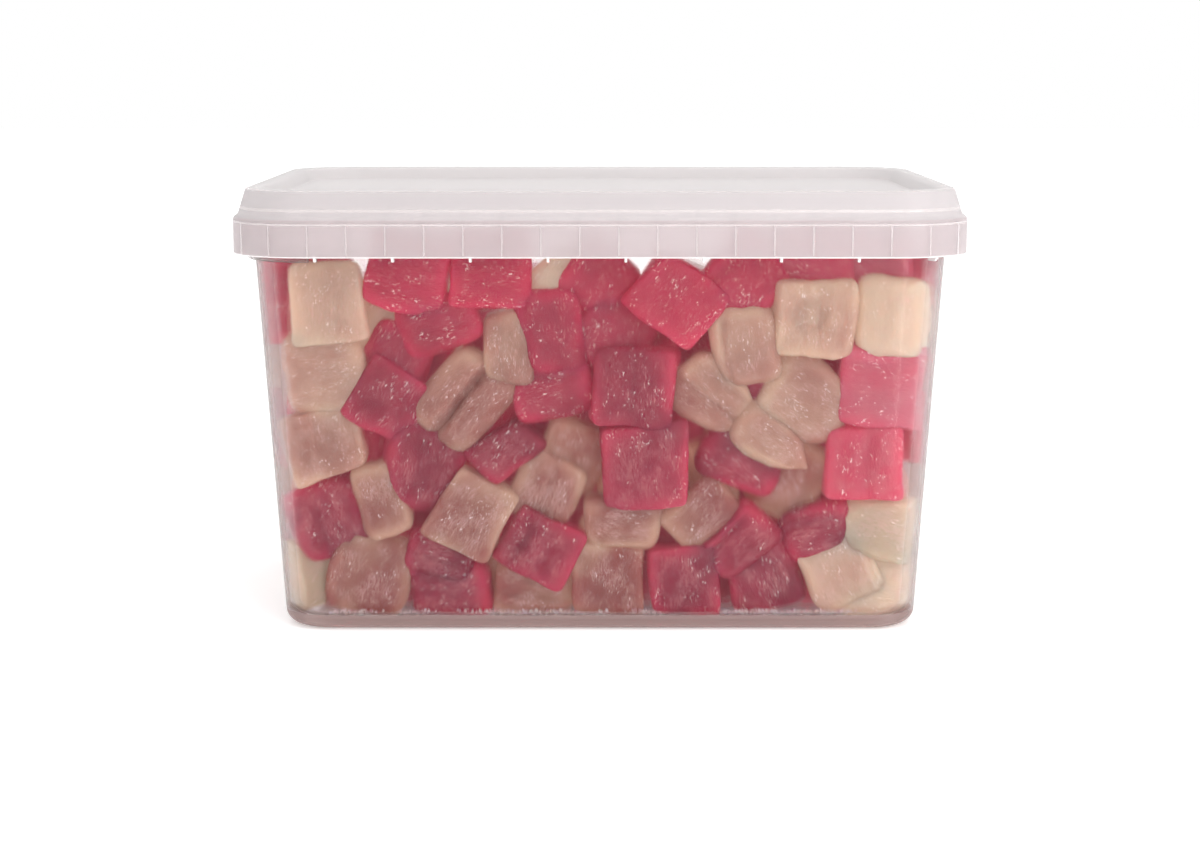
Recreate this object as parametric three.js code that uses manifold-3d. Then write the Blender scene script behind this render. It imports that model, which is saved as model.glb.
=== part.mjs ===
// A clear rectangular tub of boiled sweets, closed with its press-fit lid.
// Millimetres. +X runs along the long side, +Z is up, and the origin is the middle of the base.
// The tub and the lid are thin shells lofted through rounded rectangles. The sweets are one heap,
// out to the cushion shapes that press against the walls and stand up under the lid.
import * as THREE from "three";
import { mergeVertices } from "three/addons/utils/BufferGeometryUtils.js";
import Module from "manifold-3d";

// Driving dimensions
const WIDTH = 200; // the lid's skirt, outside, along X
const DEPTH = 136; // the lid's skirt, outside, along Y
const HEIGHT = 122; // base to the top of the lid's ridge
const WALL = 1.2; // tub and lid thickness
const CLEARANCE = 0.4; // between the tub, the lid and the sweets
const SWEET_SIZE = 24; // side of one square cushion, a little over life size to close the heap
const SWEET_THICKNESS = 14;

// Heights
const FOOT_RECESS = 1.8; // the underside is hollowed inside the foot ring
const FLOOR_TOP = FOOT_RECESS + 1.4;
const SKIRT_BOTTOM = 104.4;
const SKIRT_TOP = 113.4;
const LEDGE_TOP = 115; // the small ledge where the skirt meets the ridge's sloping side
const RIBS_TOP = 117; // inside the ridge's side
const PANEL_TOP = 118.4; // the lid's sunk middle
const RIM_TOP = 119.4; // the tub's lip, inside the lid's ridge
const BEAD_TOP = 116.6; // the bead on the tub's lip that the lid clips over
const BEAD_BOTTOM = 114.6;
const COLLAR_BOTTOM = 105;
const COLLAR_TOP = 106;
const TAB_BOTTOM = 102.9; // the tear-off tab under the collar's front left corner
const HEAP_TOP_IN_FRONT = 93; // the middle of the top layer along the front wall
const HEAP_TOP_BEHIND = 76; // behind it, where the heap lies lower, and the flat top of its core

// Half-widths along X. Each half-depth along Y is smaller by this much.
const HALF_DIFFERENCE = (WIDTH - DEPTH) / 2;
const SKIRT_HALF = WIDTH / 2;
const WALL_HALF_AT_BASE = 88.2;
const WALL_TAPER = 0.059; // half-width gained for each millimetre of height
const FOOT_FILLET = 4.5;
const FOOT_RING = 3.5;
const COLLAR_HALF = SKIRT_HALF - WALL - 0.6;
const BEAD_REACH = 0.8;
const TAB_REACH = 2.6; // out from the wall
const LEDGE_HALF = 98.6;
const RIDGE_HALF = 96.9;
const RIDGE_INNER_HALF = 92.4;
const PANEL_HALF = 90.6;

// Corner radii in plan
const SKIRT_CORNER = 21;
const WALL_CORNER_AT_BASE = 13;
const WALL_CORNER_AT_TOP = 17;
const CORNER_STEPS = 5;

// Ribs
const RIB_THICKNESS = 0.8;
const RIBS_PER_QUARTER = 15; // spaces from the middle of a long side to the middle of a short one
const GUSSET_DROP = 2; // how far the tub's gussets hang below its collar
const GUSSET_EVERY = 2; // one gusset for each second rib

// The heap's lattice of sweets
const COLUMNS = 8;
const ROWS_DEEP = 5;
const LAYERS = 4;
const CORE_INSET = 7;
const SWEET_JITTER = 2.6;
const LEAST_LEAN = 0.35; // radians
const MOST_LEAN = 1.3;
const HEAP_SEED = 7;

const wasm = await Module();
wasm.setup();

const wallHalf = (z) => WALL_HALF_AT_BASE + WALL_TAPER * z;
const wallCorner = (z) =>
  THREE.MathUtils.lerp(WALL_CORNER_AT_BASE, WALL_CORNER_AT_TOP, z / RIM_TOP);

// A station of a loft: half-width along X, height, and corner radius in plan.
const station = (half, z, corner) => ({ half, z, corner });
const outerWall = (z) => station(wallHalf(z), z, wallCorner(z));
const innerWall = (z, inset = WALL) =>
  station(wallHalf(z) - inset, z, wallCorner(z) - inset);
// The lid keeps one centre for each corner arc, so a smaller ring has a smaller radius.
const lidStation = (half, z) =>
  station(half, z, SKIRT_CORNER - (SKIRT_HALF - half) / 2);

// The points of one rounded rectangle, anticlockwise from above.
function ring({ half, z, corner }) {
  const halfDeep = half - HALF_DIFFERENCE;
  const points = [];
  for (let quarter = 0; quarter < 4; quarter++) {
    const signX = quarter === 0 || quarter === 3 ? 1 : -1;
    const signY = quarter < 2 ? 1 : -1;
    for (let step = 0; step <= CORNER_STEPS; step++) {
      const angle = (Math.PI / 2) * (quarter + step / CORNER_STEPS);
      points.push(
        new THREE.Vector3(
          signX * (half - corner) + corner * Math.cos(angle),
          signY * (halfDeep - corner) + corner * Math.sin(angle),
          z,
        ),
      );
    }
  }
  return points;
}

// A closed surface through the stations: from the middle of the underside, outwards and up
// the outside, and back to the middle of the top.
function loft(stations) {
  const rings = stations.map(ring);
  const count = rings[0].length;
  const points = rings.flat();
  const indices = [];
  for (let i = 0; i + 1 < rings.length; i++)
    for (let j = 0; j < count; j++) {
      const a = i * count + j;
      const b = i * count + ((j + 1) % count);
      indices.push(a, b, b + count, a, b + count, a + count);
    }
  const bottomMiddle = points.push(new THREE.Vector3(0, 0, stations[0].z)) - 1;
  const topMiddle = points.push(new THREE.Vector3(0, 0, stations.at(-1).z)) - 1;
  const last = (rings.length - 1) * count;
  for (let j = 0; j < count; j++) {
    const next = (j + 1) % count;
    indices.push(bottomMiddle, next, j, topMiddle, last + j, last + next);
  }
  return new THREE.BufferGeometry().setFromPoints(points).setIndex(indices);
}

// A three.js geometry as a solid that can be joined and cut.
function solidOf(geometry, matrix = new THREE.Matrix4()) {
  const plain = geometry.index ? geometry.toNonIndexed() : geometry.clone();
  for (const name of Object.keys(plain.attributes))
    if (name !== "position") plain.deleteAttribute(name);
  const merged = mergeVertices(plain.applyMatrix4(matrix), 1e-4);
  return new wasm.Manifold(
    new wasm.Mesh({
      numProp: 3,
      vertProperties: merged.attributes.position.array,
      triVerts: new Uint32Array(merged.index.array),
    }),
  );
}

// A solid back as a three.js geometry.
function geometryOf(solid) {
  const mesh = solid.getMesh();
  const positions = new THREE.BufferAttribute(mesh.vertProperties, 3);
  const geometry = new THREE.BufferGeometry()
    .setAttribute("position", positions)
    .setIndex(new THREE.BufferAttribute(mesh.triVerts, 1));
  geometry.computeVertexNormals();
  return geometry;
}

// The largest of a solid's separate surfaces, which drops sealed hollows and loose chips.
const largestBody = (solid) =>
  solid.decompose().reduce((a, b) => (a.volume() > b.volume() ? a : b));

const joinAll = (solids) => solids.reduce((whole, solid) => whole.add(solid));

// The point of the skirt's front right quarter that lies a way round from the front middle,
// and the angle of its outward normal.
function onQuarter(way) {
  const straightX = SKIRT_HALF - SKIRT_CORNER;
  const straightY = straightX - HALF_DIFFERENCE;
  const arc = (Math.PI / 2) * SKIRT_CORNER;
  if (way < straightX) return { x: way, y: -straightY - SKIRT_CORNER, normal: -Math.PI / 2 };
  if (way > straightX + arc)
    return { x: SKIRT_HALF, y: way - straightX - arc - straightY, normal: 0 };
  const normal = (way - straightX) / SKIRT_CORNER - Math.PI / 2;
  return {
    x: straightX + SKIRT_CORNER * Math.cos(normal),
    y: -straightY + SKIRT_CORNER * Math.sin(normal),
    normal,
  };
}

// Places evenly round the skirt, moved in by inset, each turned so that its +X points outwards.
function placesRound(inset, every = 1) {
  const straights = 2 * (SKIRT_HALF - SKIRT_CORNER) - HALF_DIFFERENCE;
  const quarter = straights + (Math.PI / 2) * SKIRT_CORNER;
  const places = [];
  for (let k = 0; k <= RIBS_PER_QUARTER; k += every) {
    const { x, y, normal } = onQuarter((quarter * k) / RIBS_PER_QUARTER);
    for (const signX of k === 0 ? [1] : [1, -1])
      for (const signY of k === RIBS_PER_QUARTER ? [1] : [1, -1]) {
        const angle = Math.atan2(signY * Math.sin(normal), signX * Math.cos(normal));
        const place = new THREE.Matrix4().makeTranslation(signX * x, signY * y, 0);
        place.multiply(new THREE.Matrix4().makeRotationZ(angle));
        places.push(place.multiply(new THREE.Matrix4().makeTranslation(-inset, 0, 0)));
      }
  }
  return places;
}

// A thin upright plate whose outline is given as [outwards, z] pairs.
function plate(outline) {
  const shape = new THREE.Shape(outline.map(([out, z]) => new THREE.Vector2(out, z)));
  const flat = new THREE.ExtrudeGeometry(shape, { depth: RIB_THICKNESS, bevelEnabled: false });
  return flat.translate(0, 0, -RIB_THICKNESS / 2).rotateX(Math.PI / 2);
}

// The open tub: hollow foot, rounded base, tapered wall, collar, and a lip with a bead.
function tubShell() {
  const footHalf = wallHalf(0) - FOOT_FILLET;
  const recessHalf = footHalf - FOOT_RING;
  const footCorner = WALL_CORNER_AT_BASE - FOOT_FILLET + 1;
  const stations = [
    station(recessHalf - 1, FOOT_RECESS, footCorner - 3),
    station(recessHalf, 0, footCorner - 2.5),
    station(footHalf, 0, footCorner),
  ];
  for (let step = 1; step <= 4; step++) {
    const angle = (Math.PI / 2) * (step / 4);
    const z = FOOT_FILLET * (1 - Math.cos(angle));
    const half = wallHalf(z) - FOOT_FILLET * (1 - Math.sin(angle));
    stations.push(station(half, z, THREE.MathUtils.lerp(footCorner, wallCorner(z), step / 4)));
  }
  const collarCorner = SKIRT_CORNER - 2;
  stations.push(
    outerWall(COLLAR_BOTTOM),
    station(COLLAR_HALF, COLLAR_BOTTOM, collarCorner),
    station(COLLAR_HALF, COLLAR_TOP, collarCorner),
    outerWall(COLLAR_TOP),
    outerWall(BEAD_BOTTOM),
    innerWall((BEAD_BOTTOM + BEAD_TOP) / 2, -BEAD_REACH),
    outerWall(BEAD_TOP),
    outerWall(RIM_TOP),
    innerWall(RIM_TOP),
    innerWall(FLOOR_TOP + FOOT_FILLET),
    innerWall(FLOOR_TOP + 1.2, WALL + 1),
    innerWall(FLOOR_TOP, WALL + FOOT_FILLET - 1),
  );
  return solidOf(loft(stations));
}

// The tear-off tab: a block that follows the wall round the front left corner only.
function tearOffTab() {
  const block = loft([
    innerWall(TAB_BOTTOM, -TAB_REACH + 0.8),
    innerWall(TAB_BOTTOM + 1, -TAB_REACH),
    innerWall(COLLAR_BOTTOM + 0.5, -TAB_REACH),
  ]);
  const hollow = loft([
    innerWall(TAB_BOTTOM - 1, WALL / 2),
    innerWall(COLLAR_BOTTOM + 1, WALL / 2),
  ]);
  const side = 2 * WALL_CORNER_AT_TOP;
  const corner = new THREE.BoxGeometry(side, side, HEIGHT).translate(
    -wallHalf(TAB_BOTTOM),
    -wallHalf(TAB_BOTTOM) + HALF_DIFFERENCE,
    HEIGHT / 2,
  );
  return solidOf(block).subtract(solidOf(hollow)).intersect(solidOf(corner));
}

// Small plates that stiffen the collar from below and show under the skirt.
function tubGussets() {
  const inset = SKIRT_HALF - wallHalf(COLLAR_BOTTOM);
  const reach = COLLAR_HALF - wallHalf(COLLAR_BOTTOM) - 0.4;
  const outline = [
    [-0.9, COLLAR_BOTTOM - GUSSET_DROP],
    [reach * 0.45, COLLAR_BOTTOM - GUSSET_DROP],
    [reach, COLLAR_BOTTOM + 0.5],
    [-0.9, COLLAR_BOTTOM + 0.5],
  ];
  return placesRound(inset, GUSSET_EVERY).map((place) => solidOf(plate(outline), place));
}

// The lid: a skirt, a small ledge and a raised ridge round a sunk panel, all one wall thick.
function lidShell() {
  const channelTop = HEIGHT - WALL;
  return solidOf(
    loft([
      lidStation(PANEL_HALF, PANEL_TOP - WALL),
      lidStation(RIDGE_INNER_HALF, channelTop - 0.6),
      lidStation(RIDGE_INNER_HALF + 0.8, channelTop),
      lidStation(RIDGE_HALF - 1.6, channelTop),
      lidStation(RIDGE_HALF - 1, channelTop - 0.6),
      lidStation(LEDGE_HALF - WALL, LEDGE_TOP - 0.3),
      lidStation(SKIRT_HALF - WALL, SKIRT_TOP - 0.3),
      lidStation(SKIRT_HALF - WALL, SKIRT_BOTTOM),
      lidStation(SKIRT_HALF, SKIRT_BOTTOM),
      lidStation(SKIRT_HALF, SKIRT_TOP),
      lidStation(SKIRT_HALF - 0.4, SKIRT_TOP + 1),
      lidStation(LEDGE_HALF + 0.2, LEDGE_TOP),
      lidStation(LEDGE_HALF, LEDGE_TOP + 0.4),
      lidStation(RIDGE_HALF, HEIGHT - 0.9),
      lidStation(RIDGE_HALF - 0.9, HEIGHT),
      lidStation(RIDGE_INNER_HALF + 0.2, HEIGHT),
      lidStation(RIDGE_INNER_HALF - 0.7, HEIGHT - 0.7),
      lidStation(PANEL_HALF - 0.6, PANEL_TOP),
    ]),
  );
}

// Ribs behind the skirt, from just over the tub's collar up into the ridge's side.
function lidRibs() {
  const outline = [
    [-0.5, COLLAR_TOP + CLEARANCE],
    [0.4, COLLAR_TOP + CLEARANCE],
    [0.4, SKIRT_TOP - 0.5],
    [-1.2, RIBS_TOP],
    [-1.9, RIBS_TOP],
  ];
  return placesRound(WALL).map((place) => solidOf(plate(outline), place));
}

// Repeatable numbers from 0 to 1.
function randomNumbers(seed) {
  let state = seed;
  return () => {
    state = (state * 16807) % 2147483647;
    return state / 2147483647;
  };
}

// One sweet: a square cushion, flat on both faces and fullest round its waist.
function sweetGeometry() {
  const corners = [
    [1, 1],
    [-1, 1],
    [-1, -1],
    [1, -1],
  ];
  const levels = [
    { z: -SWEET_THICKNESS / 2, half: SWEET_SIZE * 0.38 },
    { z: 0, half: SWEET_SIZE / 2 },
    { z: SWEET_THICKNESS / 2, half: SWEET_SIZE * 0.38 },
  ];
  const points = levels.flatMap(({ z, half }) =>
    corners.map(([x, y]) => new THREE.Vector3(x * half, y * half, z)),
  );
  const indices = [0, 2, 1, 0, 3, 2];
  for (let level = 0; level + 1 < levels.length; level++)
    for (let side = 0; side < 4; side++) {
      const a = level * 4 + side;
      const b = level * 4 + ((side + 1) % 4);
      indices.push(a, b, b + 4, a, b + 4, a + 4);
    }
  const top = points.length - 4;
  indices.push(top, top + 1, top + 2, top, top + 2, top + 3);
  return new THREE.BufferGeometry().setFromPoints(points).setIndex(indices);
}

// The sweets that show: the outer shell of a loose lattice, flat to the nearest wall or lying on
// the top, each one knocked about a little and about half of them tipped far over.
function outerSweets() {
  const random = randomNumbers(HEAP_SEED);
  const spread = (most) => (random() - 0.5) * 2 * most;
  const sweet = sweetGeometry();
  const sweets = [];
  for (let layer = 0; layer < LAYERS; layer++)
    for (let column = 0; column < COLUMNS; column++)
      for (let row = 0; row < ROWS_DEEP; row++) {
        const top = row === 0 ? HEAP_TOP_IN_FRONT : HEAP_TOP_BEHIND;
        const z = THREE.MathUtils.lerp(FLOOR_TOP + SWEET_SIZE / 2, top, layer / (LAYERS - 1));
        const half = wallHalf(z) - WALL - SWEET_SIZE * 0.38;
        const halfDeep = half - HALF_DIFFERENCE;
        const onSide = column === 0 || column === COLUMNS - 1;
        const onFront = row === 0 || row === ROWS_DEEP - 1;
        if (!onSide && !onFront && layer < LAYERS - 1) continue;
        const place = new THREE.Vector3(
          THREE.MathUtils.lerp(-half, half, column / (COLUMNS - 1)) + spread(SWEET_JITTER),
          THREE.MathUtils.lerp(-halfDeep, halfDeep, row / (ROWS_DEEP - 1)) + spread(SWEET_JITTER),
          z + spread(SWEET_JITTER),
        );
        const tipX = onFront ? Math.PI / 2 : 0;
        const tipY = onSide && !onFront ? Math.PI / 2 : 0;
        const lean = random() < 0.5 ? MOST_LEAN : LEAST_LEAN;
        const turn = new THREE.Euler(tipX + spread(lean), tipY + spread(lean), spread(Math.PI));
        const matrix = new THREE.Matrix4().makeRotationFromEuler(turn).setPosition(place);
        sweets.push(solidOf(sweet, matrix));
      }
  return sweets;
}

// The whole heap: the sweets that show over a plain core, kept inside the tub.
function heap() {
  const coreBottom = FLOOR_TOP + CLEARANCE;
  const core = loft([
    innerWall(coreBottom, WALL + CORE_INSET),
    innerWall(HEAP_TOP_BEHIND, WALL + CORE_INSET),
  ]);
  const inset = WALL + CLEARANCE;
  const cavity = loft([
    innerWall(coreBottom, inset + FOOT_FILLET),
    innerWall(coreBottom + FOOT_FILLET, inset),
    innerWall(RIM_TOP, inset),
  ]);
  const joined = joinAll([solidOf(core), ...outerSweets()]).intersect(solidOf(cavity));
  return largestBody(joined);
}

function mesh(name, solid, material) {
  const made = new THREE.Mesh(geometryOf(solid), material);
  made.name = name;
  return made;
}

const clearPlastic = new THREE.MeshStandardMaterial({
  color: 0xe9e6e6,
  roughness: 0.2,
  metalness: 0,
  transparent: true,
  opacity: 0.3,
});
const milkyPlastic = new THREE.MeshStandardMaterial({
  color: 0xe6dfe0,
  roughness: 0.35,
  metalness: 0,
  transparent: true,
  opacity: 0.6,
});
const boiledSugar = new THREE.MeshStandardMaterial({
  color: 0xc96a78,
  roughness: 0.35,
  metalness: 0,
});

const tubOfSweets = new THREE.Group();
tubOfSweets.add(
  mesh("tub", joinAll([tubShell(), tearOffTab(), ...tubGussets()]), clearPlastic),
  mesh("lid", joinAll([lidShell(), ...lidRibs()]), milkyPlastic),
  mesh("sweets_heap", heap(), boiledSugar),
);

export default tubOfSweets;
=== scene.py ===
"""A clear tub of pulled-sugar sweets with its press-fit lid.

Metres, +Z up, the origin in the middle of the base. Sizes below are in millimetres, and MM turns
them into metres. The tub and the lid are thin moulded shells. The sweets are short lengths of a
pulled sugar rope, cut into cushions: a front layer laid against the front wall, and loose
ones that are dropped into the tub behind it and settle under their own weight.
"""
import math

import bmesh
import bpy
import numpy as np
from mathutils import Euler, Matrix, Vector


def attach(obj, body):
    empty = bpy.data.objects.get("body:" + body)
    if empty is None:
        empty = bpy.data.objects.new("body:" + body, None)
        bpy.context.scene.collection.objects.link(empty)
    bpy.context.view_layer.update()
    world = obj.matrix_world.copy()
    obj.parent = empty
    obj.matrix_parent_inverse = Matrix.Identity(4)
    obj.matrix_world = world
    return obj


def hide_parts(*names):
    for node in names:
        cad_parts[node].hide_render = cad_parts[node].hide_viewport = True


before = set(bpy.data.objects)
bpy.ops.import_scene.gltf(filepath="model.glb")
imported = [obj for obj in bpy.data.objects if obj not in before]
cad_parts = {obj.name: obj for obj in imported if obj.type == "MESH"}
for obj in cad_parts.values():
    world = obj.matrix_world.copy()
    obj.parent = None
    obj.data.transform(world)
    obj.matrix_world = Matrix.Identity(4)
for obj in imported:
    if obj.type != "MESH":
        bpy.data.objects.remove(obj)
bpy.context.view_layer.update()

MM = 0.001

# Sizes shared with the part
WIDTH = 200.0
DEPTH = 136.0
HEIGHT = 122.0
HALF_DIFFERENCE = (WIDTH - DEPTH) / 2
WALL = 1.2
CLEARANCE = 0.4
FOOT_RECESS = 1.8
FLOOR_TOP = 3.2
FOOT_FILLET = 4.5
FOOT_RING = 3.5
SKIRT_BOTTOM = 104.4
SKIRT_TOP = 113.4
SKIRT_HALF = WIDTH / 2
SKIRT_CORNER = 21.0
LEDGE_TOP = 115.0
LEDGE_HALF = 98.6
RIDGE_HALF = 96.9
RIDGE_INNER_HALF = 92.4
PANEL_HALF = 90.6
PANEL_TOP = 118.4
RIM_TOP = 119.4
RIBS_TOP = 117.0
BEAD_TOP = 116.6
BEAD_BOTTOM = 114.6
BEAD_REACH = 0.8
COLLAR_BOTTOM = 105.0
COLLAR_TOP = 106.0
COLLAR_HALF = SKIRT_HALF - WALL - 0.6
TAB_BOTTOM = 102.9
TAB_REACH = 2.6
TAB_STEPS = 10
WALL_HALF_AT_BASE = 88.2
WALL_TAPER = 0.059
WALL_CORNER_AT_BASE = 13.0
WALL_CORNER_AT_TOP = 17.0
CORNER_STEPS = 14
EDGE_LINE = 0.35  # the height of the rolled edge under the skirt

# Ribs and gussets
RIB_COUNT = 61
RIB_THICKNESS = 0.4
RIB_PROUD = 0.03  # out of the skirt's face, so that each rib catches the light
GUSSET_COUNT = 29
GUSSET_THICKNESS = 0.7
GUSSET_DROP = 2.0

# Sweets. The lattice is the rows behind the front layer.
HEAP_TOP = 108.0
LATTICE_LEVELS = 4
LATTICE_COLUMNS = 9
LATTICE_SPACING = (19.0, 20.0)  # along X and Z
LATTICE_BOTTOM = 15
LATTICE_REACH = 76
LATTICE_DEPTH = 23
LATTICE_JITTER = 3
LATTICE_TURN = 90
LATTICE_LEAN = 25
LATTICE_PINK_SHARE = 0.8
INNER_DEPTHS = (10.0, 20.0)  # from the front wall: where a sweet begins to be painted darker, painted shade of the depth
INNER_MOST = 0.8
LOOSE_COUNT = 148
LOOSE_PINK_SHARE = 0.52
CORE_HALF = (46.0, 12.0)
CORE_TOP = 55.0
HAZE_BEGINS = 25.0  # below this the sweets are fully hazy, rubbed by the weight on them
HAZE_ENDS = 85.0  # above this they are clear

# Sugar crumbs
CRUMB_DENSITY = 7.0e6  # to the square metre, where they lie thickest
CRUMB_PATCH = 12.0
CRUMB_RADII = (0.2, 0.7)

# Settling
SETTLE_SCALE = 50.0  # sweets about a metre wide, where the solver is steady
SETTLE_FRAMES = 130
SETTLE_BODY = dict(friction=0.45, restitution=0.02, use_margin=True, collision_margin=0.01,
                   linear_damping=0.15, angular_damping=0.3)
DROP_COLUMNS = 6
DROP_ROWS = 3
DROP_SPACING = (29, 28, 28)
DROP_START = (-72, -12, 95)
DROP_JITTER = 3

# Seeds
LATTICE_SEED = 3
DROP_SEED = 7
CHOICE_SEED = 11
FRONT_SHAPE_SEED = 100
FRONT_GRAIN_SEED = 500
LOOSE_SEED = 900
CRUMB_SEED = 4


def linear(hex_colour, alpha=1.0):
    """An sRGB hex colour as linear red, green, blue and alpha."""
    channels = [int(hex_colour[i:i + 2], 16) / 255 for i in (1, 3, 5)]
    curve = lambda c: c / 12.92 if c <= 0.04045 else ((c + 0.055) / 1.055) ** 2.4
    return (*[curve(c) for c in channels], alpha)


def smooth_step(low, high, value):
    t = np.clip((value - low) / (high - low), 0, 1)
    return t * t * (3 - 2 * t)


# ---- meshes

def add_object(name, data):
    """An object in the scene with this data."""
    made = bpy.data.objects.new(name, data)
    bpy.context.scene.collection.objects.link(made)
    return made


def make_object(name, points, faces, material=None, smooth_angle=40):
    """A mesh object at the origin from points in metres, smooth but for edges over an angle."""
    mesh = bpy.data.meshes.new(name)
    mesh.from_pydata([tuple(p) for p in points], [], [tuple(f) for f in faces])
    mesh.validate()
    mesh.polygons.foreach_set("use_smooth", [True] * len(mesh.polygons))
    mesh.set_sharp_from_angle(angle=math.radians(smooth_angle))
    if material:
        mesh.materials.append(material)
    return add_object(name, mesh)


def wall_half(z):
    return WALL_HALF_AT_BASE + WALL_TAPER * z


def wall_corner(z):
    return WALL_CORNER_AT_BASE + (WALL_CORNER_AT_TOP - WALL_CORNER_AT_BASE) * z / RIM_TOP


def wall_station(z, inset=0.0):
    """The tub's wall at one height: half-width, height and corner radius, moved in by inset."""
    return wall_half(z) - inset, z, wall_corner(z) - inset


def floor_station(share, lift=0.0):
    """The round between the tub's wall and floor, at a share of its way down and lifted off it."""
    angle = math.pi / 2 * share
    z = FLOOR_TOP + lift + FOOT_FILLET * (1 - math.sin(angle))
    return wall_station(z, WALL + lift + (FOOT_FILLET - 1) * (1 - math.cos(angle)))


def lid_station(half, z):
    """A ring of the lid. Its corner arcs share one centre, so a smaller ring turns tighter."""
    return half, z, SKIRT_CORNER - (SKIRT_HALF - half) / 2


def ring(half, z, corner, steps=CORNER_STEPS):
    """The points of one rounded rectangle, anticlockwise from above."""
    half_deep = half - HALF_DIFFERENCE
    points = []
    for quarter, (sign_x, sign_y) in enumerate([(1, 1), (-1, 1), (-1, -1), (1, -1)]):
        for step in range(steps + 1):
            angle = math.pi / 2 * (quarter + step / steps)
            points.append((
                (sign_x * (half - corner) + corner * math.cos(angle)) * MM,
                (sign_y * (half_deep - corner) + corner * math.sin(angle)) * MM,
                z * MM,
            ))
    return points


def loft(stations, steps=CORNER_STEPS):
    """A closed surface through the stations, from the middle of the underside round the outside
    and back to the middle of the top."""
    rings = [ring(*station, steps) for station in stations]
    count = len(rings[0])
    points = [p for one in rings for p in one]
    faces = []
    for i in range(len(rings) - 1):
        for j in range(count):
            a, b = i * count + j, i * count + (j + 1) % count
            faces.append((a, b, b + count, a + count))
    last = (len(rings) - 1) * count
    faces.append(tuple(reversed(range(count))))
    faces.append(tuple(range(last, last + count)))
    return points, faces


# ---- materials

def add_node(tree, kind, inputs=None, **settings):
    """A node with its settings. Each input is a value, or what to link to it: an output socket, or
    a node for its first one."""
    node = tree.nodes.new(kind)
    for name, value in settings.items():
        setattr(node, name, value)
    for name, value in (inputs or {}).items():
        if isinstance(value, bpy.types.Node):
            value = value.outputs[0]
        if isinstance(value, bpy.types.NodeSocket):
            tree.links.new(value, node.inputs[name])
        else:
            node.inputs[name].default_value = value
    return node


def new_material(name):
    """An empty node material and its tree."""
    material = bpy.data.materials.new(name)
    material.use_nodes = True
    material.node_tree.nodes.clear()
    return material, material.node_tree


def finish_material(material, surface):
    add_node(material.node_tree, "ShaderNodeOutputMaterial", {"Surface": surface})
    return material


def clear_tub_plastic():
    """Clear injection-moulded polypropylene. It gives the eye a wall behind which what touches it
    shows sharp and what stands back blurs, and which turns grey where one looks along it."""
    material, tree = new_material("clear_moulded_polypropylene")
    clear = add_node(tree, "ShaderNodeBsdfTransparent", {"Color": linear("#FCFAFA")})
    shell = add_node(tree, "ShaderNodeBsdfPrincipled", {
        "Base Color": linear("#FBF7F7"), "Roughness": 0.26, "IOR": 1.25, "Transmission Weight": 1.0,
        "Specular IOR Level": 0.3, "Coat Weight": 0.25, "Coat Roughness": 0.06,
    })
    flat_on = add_node(tree, "ShaderNodeMixShader", {0: 0.5, 1: clear, 2: shell})
    # The power keeps the grey to the last few millimetres before the wall's outline.
    away = add_node(tree, "ShaderNodeLayerWeight", {"Blend": 0.5}).outputs["Facing"]
    edge_on = add_node(tree, "ShaderNodeMath", {0: away, 1: 3.5}, operation="POWER")
    along_wall = add_node(tree, "ShaderNodeBsdfPrincipled", {
        "Base Color": linear("#A9A4A2"), "Roughness": 0.4,
    })
    shader = add_node(tree, "ShaderNodeMixShader", {0: edge_on, 1: flat_on, 2: along_wall})
    return finish_material(material, shader)


def milky_plastic(name, colour, transmission, roughness=0.27, straight_through=0.0):
    """Milky moulded plastic. Light is scattered in it or, where transmission is high, comes through
    blurred, and a share of it may go straight through."""
    material, tree = new_material(name)
    clear = add_node(tree, "ShaderNodeBsdfTransparent", {"Color": linear(colour)})
    milk = add_node(tree, "ShaderNodeBsdfPrincipled", {
        "Base Color": linear(colour), "Roughness": roughness, "IOR": 1.45,
        "Transmission Weight": transmission,
    })
    shader = add_node(tree, "ShaderNodeMixShader", {0: 1 - straight_through, 1: clear, 2: milk})
    return finish_material(material, shader)


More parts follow.
